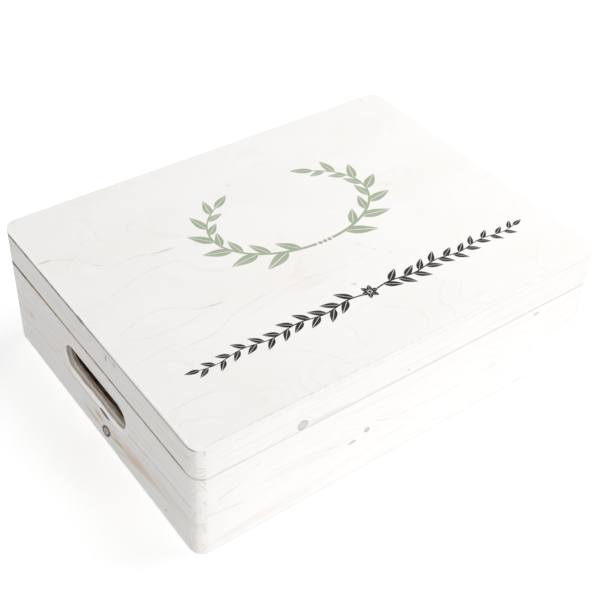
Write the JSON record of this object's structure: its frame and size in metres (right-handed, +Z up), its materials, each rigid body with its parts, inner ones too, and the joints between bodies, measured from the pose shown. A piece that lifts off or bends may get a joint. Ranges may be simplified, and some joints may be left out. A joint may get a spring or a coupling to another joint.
{
  "type": "keepsake box",
  "caption": "Low rectangular whitewashed wooden keepsake box with finger-jointed corners, a hinged lid and oval hand slots in both short sides.",
  "frame": {"origin": "centre of the footprint, on the surface the box stands on", "axes": "+X to the right along the long front, +Y to the back where the hinges are, +Z up"},
  "size_m": [0.4, 0.3, 0.12],
  "materials": {
    "washed_pine": "thin white wash over sanded pine, grain and knots showing through; bare pine inside",
    "washed_birch_plywood": "white-washed birch plywood with a printed ornament",
    "floor_plywood": "bare birch plywood",
    "brad_steel": "bright steel wire brads",
    "hinge_brass": "brass-plated pressed steel",
    "hinge_screws": "brass-plated countersunk slotted screws"
  },
  "bodies": {
    "box_body": {"front_board": "washed_pine", "back_board": "washed_pine", "left_board": "washed_pine", "right_board": "washed_pine", "floor_panel": "floor_plywood", "floor_brads": "brad_steel", "left_hinge_body_leaf": "hinge_brass", "left_hinge_pin": "hinge_brass", "left_hinge_body_screws": "hinge_screws", "right_hinge_body_leaf": "hinge_brass", "right_hinge_pin": "hinge_brass", "right_hinge_body_screws": "hinge_screws"},
    "lid": {"lid_front_rail": "washed_pine", "lid_back_rail": "washed_pine", "lid_left_rail": "washed_pine", "lid_right_rail": "washed_pine", "lid_top_panel": "washed_birch_plywood", "left_hinge_lid_leaf": "hinge_brass", "left_hinge_lid_screws": "hinge_screws", "right_hinge_lid_leaf": "hinge_brass", "right_hinge_lid_screws": "hinge_screws"}
  },
  "joints": [
    {"name": "lid_hinge", "type": "hinge", "parent": "box_body", "child": "lid", "pos_m": [0, 0.1453, 0.0861], "axis": [-1, 0, 0], "range_deg": [0, 100]}
  ]
}
